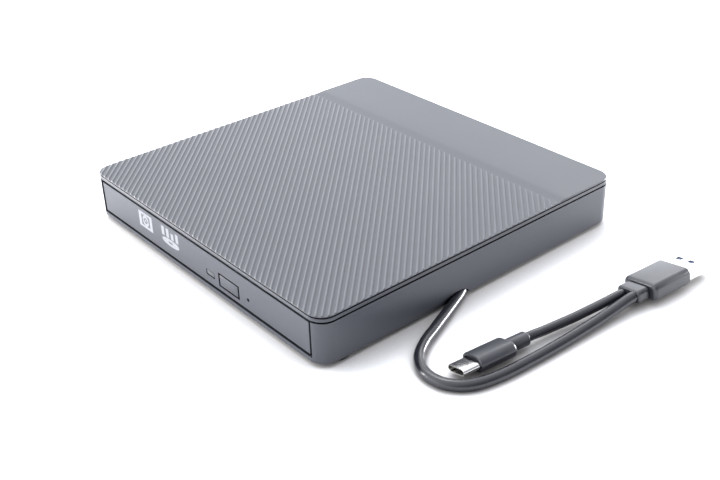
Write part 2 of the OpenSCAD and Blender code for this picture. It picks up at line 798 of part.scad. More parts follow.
module ejector_rod() {
    color(plain_black) translate([ejector_x, ejector_y, ejector_z]) {
        rotate([-90, 0, 0]) cylinder(h = 57.2 - ejector_y, r = 1.3);
        translate([-2, -2, -1.9]) cube([4, 2.4, deck_z - ejector_z + 1.9]);
    }
}

module ejector_spring() {
    turns = 7;
    steps = 10;
    length = 15.6;
    color(steel) tube([for (i = [0:turns * steps]) let (w = 360 * i / steps)
        [ejector_x + 1.75 * cos(w), ejector_y + 0.9 + length * i / (turns * steps),
        ejector_z + 1.75 * sin(w)]], 0.4, 5, 1);
}

// ---- eject button ----

module eject_button() {
    w = button_opening[0] - 2 * button_gap;
    h = button_opening[1] - 2 * button_gap;
    color(abs_black) {
        translate([button_x - w / 2, front_y + bezel_in, button_z - h / 2])
            cube([w, button_depth - bezel_in, h]);
        translate([button_x - 2, front_y + button_depth - eps, main_board_z + board_t + 0.2])
            cube([4, 5.1, 1.6]);
    }
}

// ---- turntable ----

module spindle_rotor() {
    color(steel) translate([0, spindle_y, 0]) {
        difference() {
            translate([0, 0, 8]) cylinder(h = 4.2, r = 12.5);
            translate([0, 0, 7]) cylinder(h = 4.4, r = 11.9);
        }
        translate([0, 0, 7.2]) cylinder(h = 5, r = 1);
    }
}

module turntable_hub() {
    color(plain_black) translate([0, spindle_y, 0]) difference() {
        union() {
            translate([0, 0, 12.2]) cylinder(h = 1.3, r = 12);
            translate([0, 0, 13]) cylinder(h = 2.4, r = 7.45);
            translate([0, 0, 15.4]) cylinder(h = 0.7, r1 = 7.2, r2 = 5.6);
        }
        for (k = [0:2]) rotate([0, 0, 60 + 120 * k]) translate([3.6, -1.6, 14]) cube([5, 3.2, 3]);
        translate([0, 0, 14.6]) cylinder(h = 3, r = 2.6);
    }
}

module turntable_pad() {
    color(rubber_black) translate([0, spindle_y, 13.5]) difference() {
        cylinder(h = 0.5, r = 11.8);
        translate([0, 0, -1]) cylinder(h = 3, r = 8.6);
    }
}

// One of the three spring claws that hold the disc's hub
module hub_claw(k) {
    color([0.75, 0.76, 0.78]) translate([0, spindle_y, 0]) rotate([0, 0, 60 + 120 * k]) {
        translate([4.6, -1.4, 14.15]) cube([2.6, 2.8, 1.4]);
        translate([7.2, 0, 14.85]) rotate([90, 0, 0]) translate([0, 0, -1.4]) cylinder(h = 2.8, r = 0.6);
    }
}

module hub_claw_1() {
    hub_claw(0);
}

module hub_claw_2() {
    hub_claw(1);
}

module hub_claw_3() {
    hub_claw(2);
}

// ---- pickup ----

module pickup_carriage() {
    h = carriage_z1 - carriage_z0;
    bearing_r = rod_r + 0.04;
    color(chip_black) on_traverse() difference() {
        union() {
            translate([lens_r - 9, -13, carriage_z0]) cube([14, 26, h]);
            for (s = [-1, 1]) translate([lens_r - 13.5, s * 15.5 - 3.1, carriage_z0]) cube([14.5, 6.2, h]);
            // arm with the half nut, beside the lead screw
            translate([lens_r - 13.5, screw_a - 1.9, carriage_z0]) cube([3, 6, h]);
        }
        // clear of the spindle motor
        cylinder(h = 20, r = 13.3);
        for (s = [-1, 1]) path_rod(s * rod_a, rod_z, 0, 60, bearing_r);
        path_rod(screw_a, rod_z, 0, 60, lead_screw_r + 0.08);
        // well of the lens holder
        translate([lens_r - 5.2, -6.2, 9.8]) cube([10.4 - 1.4, 12.4, 10]);
        // flex cable exit
        translate([lens_r - 8, -12, carriage_z1 - 0.4]) cube([2, 24, 2]);
    }
}

module lens_holder() {
    color([0.22, 0.22, 0.24]) on_traverse() translate([lens_r, 0, 10.3]) difference() {
        translate([-4.4, -5.6, 0]) cube([7.6, 11.2, 2.3]);
        translate([-0.4, 0, 1.4]) cylinder(h = 3, r = 2.65);
    }
}

module objective_lens() {
    color([0.6, 0.7, 0.95]) on_traverse() translate([lens_r - 0.4, 0, 11.7]) {
        cylinder(h = 0.9, r = 2.6);
        translate([0, 0, 0.9]) cylinder(h = 0.3, r1 = 2.2, r2 = 1.2);
    }
}

module lead_screw() {
    collars = floor((51.8 - 4) / lead_screw_pitch);
    color(steel) on_traverse() {
        path_rod(screw_a, rod_z, motor_r0 + 4.2, 53.4, 0.6);
        path_rod(screw_a, rod_z, 4, 51.8, lead_screw_r - 0.25);
        for (i = [0:collars - 1]) path_rod(screw_a, rod_z, 4 + i * lead_screw_pitch,
            5.6 + i * lead_screw_pitch, lead_screw_r);
    }
}

// ---- latch ----

// Drawn as it stands when the solenoid has let the tray go
module latch_lever() {
    arm = norm([4.5, -13]);
    color([0.85, 0.85, 0.8]) translate([latch_pivot[0], latch_pivot[1], 6.8]) rotate([0, 0, -latch_swing]) {
        difference() {
            union() {
                cylinder(h = 1.4, r = 2);
                rotate([0, 0, atan2(-13, 4.5)]) translate([0, -0.8, 0]) cube([arm, 1.6, 1.2]);
                translate([3.5, -14, 0]) cube([2, 2, 1.2]);
            }
            translate([0, 0, -1]) cylinder(h = 4, r = 1.05);
        }
    }
}

module solenoid_plunger() {
    color(steel) translate([40, solenoid_y, solenoid_z]) rotate([0, 90, 0]) cylinder(h = 11.2, r = 1);
}

// ---- leads and plugs ----

module usb_lead() {
    color(pvc_grey) tube(lead_route, lead_d, 10, 2);
}

module branch_lead() {
    color(pvc_grey) tube(branch_route, branch_d, 8, 3);
}

module usb_a_overmould() {
    color(pvc_grey) translate(usb_a_at) rotate(usb_a_turn) {
        translate([0, 5.2, 0]) round_bar(9.8, 4.8, 1.4, 5.2);
        translate([0, 6, 0]) round_bar(7, 3.4, 1, 1);
        difference() {
            translate([0, 24.3, 0]) round_bar(14.5, 6.4, 1.8, 18.5);
            translate([-6, 12, -2.25]) cube([12, 20, 4.5]);
        }
    }
}

module usb_a_shell() {
    color(steel) translate(usb_a_at) rotate(usb_a_turn) difference() {
        translate([-6, 12, -2.25]) cube([12, 24.3, 4.5]);
        translate([-5.7, 11, -1.95]) cube([11.4, 30, 3.9]);
        for (sx = [-1, 1], sz = [-1, 1])
            translate([sx * 2.6 - 1.2, 29.4, sz * 2.1 - 0.5]) cube([2.4, 2.2, 1]);
    }
}

module usb_a_tongue() {
    color([0.1, 0.3, 0.75]) translate(usb_a_at) rotate(usb_a_turn) translate([-5.6, 12.2, 0]) {
        cube([11.2, 23.2, 1.85]);
        translate([0, 0, -1.85]) cube([11.2, 9, 2]);
    }
    color(brass) translate(usb_a_at) rotate(usb_a_turn)
        for (i = [0:3]) translate([-4 + i * 2.33 - 0.15, 27, -0.12]) cube([1.2, 7.5, 0.13]);
}

module usb_c_overmould() {
    color(pvc_grey) translate(usb_c_at) rotate(usb_c_turn) {
        round_bar(5, 4.6, 1.5, 8);
        difference() {
            translate([0, -7.5, 0]) round_bar(10.2, 5.6, 2.3, 15.2);
            translate([0, -14, 0]) round_bar(8.34, 2.56, 1.27, 12);
        }
    }
}

module usb_c_shell() {
    color(steel) translate(usb_c_at) rotate(usb_c_turn) {
        difference() {
            translate([0, -14, 0]) round_bar(8.34, 2.56, 1.27, 15.4);
            translate([0, -13, 0]) round_bar(7.7, 1.92, 0.95, 18);
        }
        translate([-3.2, -18, -1.1]) cube([6.4, 4, 2.2]);
    }
}

bottom_shell();
top_cover();
rubber_feet();
shell_screws();
bridge_board();
bridge_chips();
bridge_capacitors();
bridge_plug();
usb_wires();
drive_bracket();
bracket_screws();
cable_gland();
drive_pan();
drive_lid();
drive_lid_screws();
left_rail_guide();
right_rail_guide();
interface_board();
interface_socket();
latch_post();
flat_flex_cable();
left_rail();
right_rail();
tray_frame();
front_bezel();
light_pipe();
pickup_chassis();
chassis_cover();
bottom_cover();
guide_rods();
feed_motor();
spindle_base();
rubber_dampers();
damper_screws();
main_board();
main_board_chips();
eject_switch();
solenoid();
ejector_rod();
ejector_spring();
eject_button();
spindle_rotor();
turntable_hub();
turntable_pad();
hub_claw_1();
hub_claw_2();
hub_claw_3();
pickup_carriage();
lens_holder();
objective_lens();
lead_screw();
latch_lever();
solenoid_plunger();
usb_lead();
branch_lead();
usb_a_overmould();
usb_a_shell();
usb_a_tongue();
usb_c_overmould();
usb_c_shell();
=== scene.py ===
"""Looks of an external optical drive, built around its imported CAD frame.

Blender works in metres. The new meshes are laid out in mm, as in the CAD source, and scaled when made.
"""

import json
import math

import bmesh
import bpy
import numpy as np
from mathutils import Matrix, Vector


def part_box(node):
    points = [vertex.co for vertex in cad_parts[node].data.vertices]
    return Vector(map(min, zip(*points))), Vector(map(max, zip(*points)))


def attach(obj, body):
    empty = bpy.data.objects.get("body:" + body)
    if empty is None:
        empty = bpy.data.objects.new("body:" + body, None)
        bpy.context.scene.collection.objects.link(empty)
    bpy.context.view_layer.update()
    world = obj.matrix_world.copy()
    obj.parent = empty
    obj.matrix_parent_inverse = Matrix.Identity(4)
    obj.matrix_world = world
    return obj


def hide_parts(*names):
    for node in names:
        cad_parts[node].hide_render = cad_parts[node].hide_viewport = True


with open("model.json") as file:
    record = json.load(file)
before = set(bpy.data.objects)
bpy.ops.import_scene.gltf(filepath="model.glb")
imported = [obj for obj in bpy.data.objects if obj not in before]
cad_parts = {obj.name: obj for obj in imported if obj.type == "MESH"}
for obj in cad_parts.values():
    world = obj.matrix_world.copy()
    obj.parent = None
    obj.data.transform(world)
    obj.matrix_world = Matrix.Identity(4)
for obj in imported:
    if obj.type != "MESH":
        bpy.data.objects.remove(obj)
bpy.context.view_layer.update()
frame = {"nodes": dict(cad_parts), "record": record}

MM = 0.001
ROOT2 = math.sqrt(2)

# ---- camera and cords ----

CAMERA_PLACE = Vector((0.29135, -0.23572, 0.20869))
CAMERA_AIM = Vector((0.0162, -0.0086, 0))
CAMERA_ROLL = math.radians(-1.8)
LENS_MM = 53.3

camera = bpy.data.objects.new("Camera", bpy.data.cameras.new("Camera"))
bpy.context.scene.collection.objects.link(camera)
camera.data.lens = LENS_MM
camera.data.sensor_width = 36
camera.data.clip_start = 0.01
aim = (CAMERA_AIM - CAMERA_PLACE).to_track_quat("-Z", "Y").to_matrix().to_4x4()
camera.matrix_world = Matrix.Translation(CAMERA_PLACE) @ aim @ Matrix.Rotation(CAMERA_ROLL, 4, "Z")
bpy.context.scene.camera = camera

# Points in mm that the leads follow, as in the CAD source
LEAD_ROUTE = [
    (67.8, 42, 4.4), (67.8, 36, 4.4), (67.8, 28, 4.4), (67.8, 20, 4.3), (67.8, 12, 3.9),
    (67.8, 5, 3.1), (68.2, -1, 2.4), (69.8, -6, 2.2), (72, -10, 2.1), (74.4, -15.5, 2),
    (77.6, -23, 2), (81, -31, 2), (84.2, -38.5, 2), (89, -45.5, 2), (96, -49.6, 2), (104, -49, 2),
    (110, -43.5, 2), (112.9, -34, 2), (114.2, -20.5, 2.1), (114.9, -4, 2.3), (115.2, 9.5, 2.8),
    (115.35, 16, 3.3), (115.5, 22, 3.9), (115.68, 27, 4.5), (115.86, 29.84, 4.7),
]
BRANCH_ROUTE = [
    (111.34, 30.16, 3.9), (111.15, 27.3, 3.95), (110.7, 22, 3.8), (109.9, 15, 3.5), (108.9, 7, 3.2),
    (107.9, 0, 3.1), (107.1, -7, 3.3), (106.7, -11, 3.65), (106.4, -14, 3.7),
]
LEAD_DIAMETER = 0.004
BRANCH_DIAMETER = 0.0034


def smooth_route(points, steps):
    """A smooth line through the points, with that many steps from each to the next, in metres."""
    p = np.array(points, float)
    p = np.vstack([2 * p[0] - p[1], p, 2 * p[-1] - p[-2]])
    line = []
    for i in range(1, len(p) - 2):
        a, b, c, d = p[i - 1], p[i], p[i + 1], p[i + 2]
        for t in np.arange(steps) / steps:
            line.append(0.5 * (2 * b + (c - a) * t + (2 * a - 5 * b + 4 * c - d) * t**2
                               + (3 * b - a - 3 * c + d) * t**3))
    line.append(p[-2])
    return np.array(line) * MM


def link(obj):
    bpy.context.scene.collection.objects.link(obj)
    return obj


def tube(name, line, diameter, sides=20):
    """A round mesh along a line, with flat ends."""
    along = np.gradient(line, axis=0)
    along /= np.linalg.norm(along, axis=1)[:, None]
    side = np.cross(along, (0, 0, 1))
    side /= np.linalg.norm(side, axis=1)[:, None]
    up = np.cross(side, along)
    turn = np.linspace(0, 2 * math.pi, sides, endpoint=False)[None, :, None]
    rings = line[:, None] + (side[:, None] * np.cos(turn) + up[:, None] * np.sin(turn)) * diameter / 2
    faces = [(i * sides + k, i * sides + (k + 1) % sides, (i + 1) * sides + (k + 1) % sides,
              (i + 1) * sides + k) for i in range(len(line) - 1) for k in range(sides)]
    last = (len(line) - 1) * sides
    faces += [tuple(range(sides - 1, -1, -1)), tuple(range(last, last + sides))]
    mesh = bpy.data.meshes.new(name)
    mesh.from_pydata(rings.reshape(-1, 3).tolist(), [], faces)
    return link(bpy.data.objects.new(name, mesh))


lead_line = smooth_route(LEAD_ROUTE, 8)
branch_line = smooth_route(BRANCH_ROUTE, 8)
lead = tube("lead", lead_line, LEAD_DIAMETER)
branch = tube("lead_branch", branch_line, BRANCH_DIAMETER)
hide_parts("usb_lead")
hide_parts("branch_lead")
for piece in (lead, branch):
    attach(piece, "enclosure")

# ---- sizes in mm that several new pieces share ----

COVER_CORNER = np.array(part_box("top_cover")[1]) / MM
HALF = COVER_CORNER[0]
CORNER_R = 6.2
WALL = 2.0
FOOT_H = 1.5
FLOOR_Z = 3.3
SEAM_Z = 17.5
COVER_BASE = 18.1
EDGE_R = 0.12

# ---- meshes ----


def weld_and_face_out(obj):
    bm = bmesh.new()
    bm.from_mesh(obj.data)
    bmesh.ops.remove_doubles(bm, verts=bm.verts, dist=2e-7)
    bmesh.ops.recalc_face_normals(bm, faces=bm.faces)
    bm.to_mesh(obj.data)
    bm.free()


def mesh_piece(name, verts, faces, node=None, slot=None, body="enclosure"):
    """A new object from points in mm. It stands for the CAD node, if one is named."""
    mesh = bpy.data.meshes.new(name)
    mesh.from_pydata((np.array(verts, float) * MM).tolist(), [], faces)
    mesh.validate()
    obj = link(bpy.data.objects.new(name, mesh))
    weld_and_face_out(obj)
    if node:
        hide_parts(node)
    if body:
        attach(obj, body)
    return obj


def rounded_square(half, radius, steps=14):
    """Points of a rounded square's outline in mm, in order."""
    points = []
    for k in range(4):
        centre = Vector((half - radius, half - radius)).to_3d()
        for i in range(steps + 1):
            a = math.pi / 2 * i / steps
            p = centre + Vector((math.cos(a), math.sin(a), 0)) * radius
            points.append((Matrix.Rotation(math.pi / 2 * k, 3, "Z") @ p)[:2])
    return points


def lofted(levels, half, radius):
    """Points and faces of a solid whose outline at each level (inset, z) is the rounded square inset."""
    verts, faces = [], []
    for inset, z in levels:
        verts += [(x, y, z) for x, y in rounded_square(half - inset, max(radius - inset, 0.3))]
    n = len(verts) // len(levels)
    for i in range(len(levels) - 1):
        for k in range(n):
            a, b = i * n + k, i * n + (k + 1) % n
            faces.append((a, b, b + n, a + n))
    faces.append(tuple(range(n - 1, -1, -1)))
    faces.append(tuple(range(len(verts) - n, len(verts))))
    return verts, faces


def block(low, high):
    verts = [(x, y, z) for x in (low[0], high[0]) for y in (low[1], high[1]) for z in (low[2], high[2])]
    faces = [(0, 1, 3, 2), (4, 6, 7, 5), (0, 4, 5, 1), (2, 3, 7, 6), (0, 2, 6, 4), (1, 5, 7, 3)]
    return verts, faces


def prism(outline, low, high):
    """Solid between two heights over an outline in mm."""
    n = len(outline)
    verts = [(x, y, low) for x, y in outline] + [(x, y, high) for x, y in outline]
    faces = [(k, (k + 1) % n, (k + 1) % n + n, k + n) for k in range(n)]
    return verts, faces + [tuple(range(n - 1, -1, -1)), tuple(range(n, 2 * n))]


def rectangle(left, right, low, high):
    return [(left, low), (right, low), (right, high), (left, high)]


def disc(centre, radius, steps=32):
    return [(centre[0] + radius * math.cos(2 * math.pi * i / steps),
             centre[1] + radius * math.sin(2 * math.pi * i / steps)) for i in range(steps)]


def joined(*parts):
    verts, faces = [], []
    for v, f in parts:
        faces += [tuple(i + len(verts) for i in face) for face in f]
        verts += list(v)
    return verts, faces


def cut(obj, tools, operation="DIFFERENCE"):
    """Takes each tool, given as points and faces in mm, away from obj, or adds it."""
    for n, (verts, faces) in enumerate(tools):
        tool = mesh_piece(f"tool_{n}", verts, faces, body=None)
        modifier = obj.modifiers.new("Cut", "BOOLEAN")
        modifier.operation = operation
        modifier.solver = "EXACT"
        modifier.object = tool
        depsgraph = bpy.context.evaluated_depsgraph_get()
        mesh = bpy.data.meshes.new_from_object(obj.evaluated_get(depsgraph))
        obj.modifiers.clear()
        obj.data = mesh
        bpy.data.objects.remove(tool)
    return obj


def smoothing_group(name, angle):
    """Geometry nodes that shade a mesh smooth, except at edges sharper than the angle."""
    group = bpy.data.node_groups.new(name, "GeometryNodeTree")
    group.interface.new_socket("Geometry", in_out="INPUT", socket_type="NodeSocketGeometry")
    group.interface.new_socket("Geometry", in_out="OUTPUT", socket_type="NodeSocketGeometry")
    nodes, links = group.nodes, group.links
    start, end = nodes.new("NodeGroupInput"), nodes.new("NodeGroupOutput")
    faces = nodes.new("GeometryNodeSetShadeSmooth")
    edges = nodes.new("GeometryNodeSetShadeSmooth")
    edges.domain = "EDGE"
    turn = nodes.new("GeometryNodeInputMeshEdgeAngle")
    test = nodes.new("FunctionNodeCompare")
    test.data_type = "FLOAT"
    test.operation = "LESS_THAN"
    test.inputs[1].default_value = angle
    links.new(turn.outputs[0], test.inputs[0])
    links.new(start.outputs[0], faces.inputs["Geometry"])
    links.new(faces.outputs[0], edges.inputs["Geometry"])
    links.new(test.outputs[0], edges.inputs["Shade Smooth"])
    links.new(edges.outputs[0], end.inputs[0])
    return group


SMOOTH = smoothing_group("smooth_but_edges", math.radians(32))


def shade(obj):
    modifier = obj.modifiers.new("Smooth", "NODES")
    modifier.node_group = SMOOTH
    return obj


def round_edges(obj, width_mm, angle):
    """Rounds the edges sharper than the angle, and keeps the flat faces beside them flat in their shading."""
    bevel = obj.modifiers.new("Bevel", "BEVEL")
    bevel.width = width_mm * MM
    bevel.segments = 2
    bevel.limit_method = "ANGLE"
    bevel.angle_limit = math.radians(angle)
    shade(obj)
    weighted = obj.modifiers.new("Weighted", "WEIGHTED_NORMAL")
    weighted.keep_sharp = True
    return obj


def soften(obj, width_mm, segments=3):
    """Rounds an object's edges with modifiers."""
    for layer in ("custom_normal", "sharp_face", "sharp_edge"):
        if layer in obj.data.attributes:
            obj.data.attributes.remove(obj.data.attributes[layer])
    weld = obj.modifiers.new("Weld", "WELD")
    weld.merge_threshold = 2e-6
    flat = obj.modifiers.new("Flat", "DECIMATE")
    flat.decimate_type = "DISSOLVE"
    flat.angle_limit = math.radians(0.7)
    if width_mm:
        bevel = obj.modifiers.new("Bevel", "BEVEL")
        bevel.width = width_mm * MM
        bevel.segments = segments
        bevel.limit_method = "ANGLE"
        bevel.angle_limit = math.radians(35)
    return shade(obj)


# ---- top cover ----

RIB_H = 0.35
RIB_PITCH = 2.06
RIB_BACK = 40.0
SLOPE_L = 5.6
FACE_Z = COVER_CORNER[2] - RIB_H
RIM_R = 0.12
SIDE_GROOVE = (19.35, 19.9)
SIDE_GROOVE_DEPTH = 0.5
# One rib across: share of the pitch, share of the height
RIB_W = 0.58
RIB_SHAPE = [(RIB_W * t, (0.5 - 0.5 * math.cos(2 * math.pi * t)) ** 0.8)
             for t in (0, 0.06, 0.14, 0.26, 0.4, 0.5, 0.6, 0.74, 0.86, 0.94, 1)]


def inside_distance(x, y):
    """How far inside the outline each point lies."""
    qx, qy = abs(x) - (HALF - CORNER_R), abs(y) - (HALF - CORNER_R)
    return CORNER_R - np.hypot(np.maximum(qx, 0), np.maximum(qy, 0)) - np.minimum(np.maximum(qx, qy), 0)


def reach(u):
    """Half the length of the line x + y = u * root 2 inside the outline."""
    centre = (HALF - CORNER_R) * ROOT2
    a = abs(u)
    if a > centre + CORNER_R / ROOT2:
        return math.sqrt(max(CORNER_R**2 - (a - centre) ** 2, 0))
    if a < CORNER_R / ROOT2:
        return centre + math.sqrt(CORNER_R**2 - a**2)
    return HALF * ROOT2 - a


def cover_height(x, y):
    u = (x + y) / ROOT2
    share, height = zip(*(RIB_SHAPE + [(1, 0)]))
    ribs = np.interp((u / RIB_PITCH) % 1, share, height)
    t = np.clip((y - RIB_BACK) / SLOPE_L, 0, 1)
    field = np.where(y <= RIB_BACK, ribs, t * t * (3 - 2 * t)) * RIB_H
    inside = inside_distance(x, y)
    field = field * np.clip((inside - 0.1) / 0.3, 0, 1)
    d = np.maximum(RIM_R - inside, 0)
    rim = RIM_R - np.sqrt(np.maximum(RIM_R**2 - d**2, 0))
    return FACE_Z + field - rim


def line_stations(u):
    """Places along one rib line, closer together at its ends and where the slope crosses it."""
    half = reach(u)
    end = min(3.2, half)
    near = np.array([0, 0.03, 0.07, 0.12, 0.17, 0.24, 0.32, 0.41, 0.5, 0.57, 0.7, 0.95, 1.4, 2.2, 3.2])
    near = near * end / 3.2
    back, front, step = (np.clip(u - y * ROOT2, end - half, half - end)
                         for y in (RIB_BACK + SLOPE_L, RIB_BACK + 0.01, RIB_BACK - 0.25))
    return np.concatenate([
        near - half,
        np.linspace(end - half, back, 5)[1:],
        np.linspace(back, front, 9)[1:],
        np.linspace(front, step, 3)[1:],
        np.linspace(step, half - end, 9)[1:-1],
        (half - near)[::-1],
    ])


def build_top_cover():
    far = (HALF - CORNER_R) * ROOT2 + CORNER_R
    count = math.ceil(far / RIB_PITCH)
    lines = [(i + share) * RIB_PITCH for i in range(-count, count) for share, _ in RIB_SHAPE]
    close = np.linspace(far - 2.6, far, 34)
    lines = np.array(sorted([u for u in lines if abs(u) < far - 2.6] + list(close) + list(-close)))
    u = np.repeat(lines[:, None], len(line_stations(0)), 1)
    v = np.array([line_stations(a) for a in lines])
    x, y = (u + v) / ROOT2, (u - v) / ROOT2
    grid = np.stack([x, y, cover_height(x, y)], 2)
    rows, columns = u.shape
    faces = [(i * columns + k, i * columns + k + 1, (i + 1) * columns + k + 1, (i + 1) * columns + k)
             for i in range(rows - 1) for k in range(columns - 1)]
    verts = grid.reshape(-1, 3).tolist()
    # the side with its groove, the lower edge and the underside follow the outline of the grid
    edge = [i * columns for i in range(rows)] + [i * columns + columns - 1 for i in reversed(range(rows))]
    outline = np.array([verts[i][:2] for i in edge])
    centre = np.clip(outline, CORNER_R - HALF, HALF - CORNER_R)
    away = (outline - centre) / np.linalg.norm(outline - centre, axis=1)[:, None]
    low, high = SIDE_GROOVE
    deep = SIDE_GROOVE_DEPTH
    levels = [(0, high + 0.06), (0.06, high), (deep, high), (deep, low), (0.25, low), (0.12, low - 0.04),
              (0.04, low - 0.12), (0, low - 0.26), (0, COVER_BASE + 0.12), (0.04, COVER_BASE + 0.04),
              (0.12, COVER_BASE), (WALL, COVER_BASE), (WALL, COVER_BASE + 0.8)]
    last = edge
    for inset, z in levels:
        ring = list(range(len(verts), len(verts) + len(edge)))
        verts += [(*p, z) for p in outline - away * inset]
        faces += [(last[k], last[(k + 1) % len(edge)], ring[(k + 1) % len(edge)], ring[k])
                  for k in range(len(edge))]
        last = ring
    faces.append(tuple(last))
    return shade(mesh_piece("ribbed_top_cover", verts, faces, "top_cover", "case_plastic"))


# ---- bottom shell ----

POSTS = [(-67, -62), (67, -62), (-66, 66), (66, 66)]
OPENING_HALF = 67.5
LIP_TOP = 3.5
GROOVE = ((65.3, -52), (70.3, 57))
GROOVE_TOP = 6.9
NOTCH_AT = Vector((71.3, -8.9, 2.2))
NOTCH_TURN = math.radians(25.8)
NOTCH_R = 2.35
NOTCH_L = 16
FOOT_RECESS_R = 4.6
VENT_PITCH = 5
VENT_W = 1.5
VENT_Y = (-12, 10)
TRAY_OPENING = block((-OPENING_HALF, -HALF - 1, LIP_TOP), (OPENING_HALF, -HALF + 4.4, 30))
CASE_INSIDE = lofted([(WALL, FLOOR_Z), (WALL, 30)], HALF, CORNER_R)


def notch_cutter():
    """Arch through the right wall that follows the lead as it slants out of the case."""
    side = [(-NOTCH_R, -10)]
    side += [(-NOTCH_R * math.cos(a), NOTCH_R * math.sin(a)) for a in np.linspace(0, math.pi, 25)]
    side += [(NOTCH_R, -10)]
    verts, faces = prism(side, -NOTCH_L / 2, NOTCH_L / 2)
    turn = Matrix.Rotation(NOTCH_TURN, 3, "Z")
    return [tuple(NOTCH_AT + turn @ Vector((x, z, y))) for x, y, z in verts], faces


def build_bottom_shell():
    body = [(0.75, FOOT_H), (0.46, FOOT_H + 0.06), (0.22, FOOT_H + 0.22), (0.06, FOOT_H + 0.46),
            (0, FOOT_H + 0.75), (0, SEAM_Z - 0.25), (0.07, SEAM_Z - 0.07), (0.25, SEAM_Z)]
    shell = mesh_piece("lower_case", *lofted(body, HALF, CORNER_R), "bottom_shell", "case_plastic")
    cut(shell, [CASE_INSIDE])
    walls_low = (GROOVE[0][0] - 1, GROOVE[0][1] - 1.2, FLOOR_Z - 0.5)
    walls_high = (HALF - 1, GROOVE[1][1] + 1.2, GROOVE_TOP + 1.2)
    cut(shell, [block(walls_low, walls_high)], "UNION")
    recesses = [prism(disc(p, FOOT_RECESS_R), -1, FOOT_H + 0.7) for p in POSTS]
    vents = [block((i * VENT_PITCH - VENT_W / 2, VENT_Y[0], 0), (i * VENT_PITCH + VENT_W / 2, VENT_Y[1], 10))
             for i in range(-4, 5)]
    cut(shell, [
        TRAY_OPENING,
        block((*GROOVE[0], -1), (*GROOVE[1], GROOVE_TOP)),
        notch_cutter(),
        joined(*recesses),
        joined(*vents),
    ])
    return round_edges(shell, EDGE_R, 50)


def build_seam_ring():
    """Thin wall that closes the seam between the shells from inside."""
    outside = lofted([(0.95, FLOOR_Z + 8), (0.95, COVER_BASE + 0.6)], HALF, CORNER_R)
    ring = mesh_piece("seam_ring", *outside, body=None)
    cut(ring, [CASE_INSIDE, TRAY_OPENING])
    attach(ring, "enclosure")
    return shade(ring)


# ---- front bezel ----

BEZEL_LEFT, BEZEL_RIGHT = -66.8, 66.2
BEZEL_LOW, BEZEL_TOP = 4.2, 16.7
BEZEL_IN = 0.4
BEZEL_T = 3.35
STEP_AT, STEP_H = 0.5, 1.6
# Openings: left, right, low, high
BUTTON_OPENING = (14.3, 26.9, 5.8, 11.4)
LIGHT_OPENING = (6.5, 11.7, 7.3, 9.6)
RELEASE_AT, RELEASE_R = (32.2, 8.5), 0.65


def front_hole(outline):
    """Cutter through the bezel, over an outline in x and z."""
    verts, faces = prism(outline, 0, 8)
    return [(x, y - HALF - 1, z) for x, z, y in verts], faces


def build_bezel():
    """The bezel with its openings, and a step behind its upper edge. It stands a little to the left."""
    front = BEZEL_IN - HALF
    bezel = mesh_piece(
        "tray_bezel",
        *block((BEZEL_LEFT, front, BEZEL_LOW), (BEZEL_RIGHT, front + BEZEL_T, BEZEL_TOP)),
        "front_bezel", "case_plastic", "tray")
    cut(bezel, [
        front_hole(rectangle(*BUTTON_OPENING)),
        front_hole(rectangle(*LIGHT_OPENING)),
        front_hole(disc(RELEASE_AT, RELEASE_R)),
        block((-HALF, front + STEP_AT, BEZEL_TOP - STEP_H), (HALF, front + 8, 30)),
    ])
    return round_edges(bezel, EDGE_R, 50)


# ---- plug mouldings ----

# Where each plug starts, and its turns about x, y and z in degrees
USB_A = (Vector((113.6, 30, 4.3)), (0, -10, -4))
USB_C = (Vector((106.4, -14, 3.7)), (0, -15, -6))
# Each bar: start, end, width, height, radius of its section, radius at its start and at its end, mouth
USB_A_BARS = [
    (0, 5, 9.8, 4.8, 1.6, 0.7, 0.35),
    (4.6, 6.4, 8, 3.8, 1.2, 0.05, 0.05),
    (5.8, 24.3, 14.5, 6.4, 2.1, 1.5, 0.7),
]
USB_C_BARS = [
    (0, 7.9, 5, 4.6, 1.9, 0.6, 0.2),
    (7.5, 22.7, 10.2, 5.6, 2.75, 1.5, 0.3, (0.45, 0.6)),
]


def in_place(verts, place):
    """Points turned and moved as a plug is, in mm."""
    at, turns = place
    turn = Matrix.Identity(3)
    for angle, axis in zip(turns, "XYZ"):
        turn = Matrix.Rotation(math.radians(angle), 3, axis) @ turn
    return [tuple(at + turn @ Vector(v)) for v in verts]


def rounded_bar(start, end, width, height, radius, start_r, end_r, mouth=None):
    """A bar along y with a rounded section and rounded ends.

    A mouth, given as the width of its rim and its depth, sinks the end.
    """
    sections = [(start + start_r * (1 - math.cos(a)), start_r * (1 - math.sin(a)))
                for a in np.linspace(0, math.pi / 2, 7)]
    sections += [(end - end_r * (1 - math.cos(a)), end_r * (1 - math.sin(a)))
                 for a in np.linspace(math.pi / 2, 0, 7)]
    if mouth:
        rim, depth = mouth
        sections += [(end, end_r + rim), (end - 0.1, end_r + rim + 0.1), (end - depth, end_r + rim + 0.15)]
    verts = []
    for y, inset in sections:
        a, b = width / 2 - inset, height / 2 - inset
        r = max(min(radius - inset * 0.6, a - 0.01, b - 0.01), 0.2)
        for k, (sx, sz) in enumerate(((1, 1), (-1, 1), (-1, -1), (1, -1))):
            for t in np.linspace(0, math.pi / 2, 8):
                angle = t + k * math.pi / 2
                verts.append((sx * (a - r) + r * math.cos(angle), y, sz * (b - r) + r * math.sin(angle)))
    n = len(verts) // len(sections)
    faces = [(i * n + k, i * n + (k + 1) % n, (i + 1) * n + (k + 1) % n, (i + 1) * n + k)
             for i in range(len(sections) - 1) for k in range(n)]
    faces += [tuple(range(n - 1, -1, -1)), tuple(range(len(verts) - n, len(verts)))]
    return verts, faces


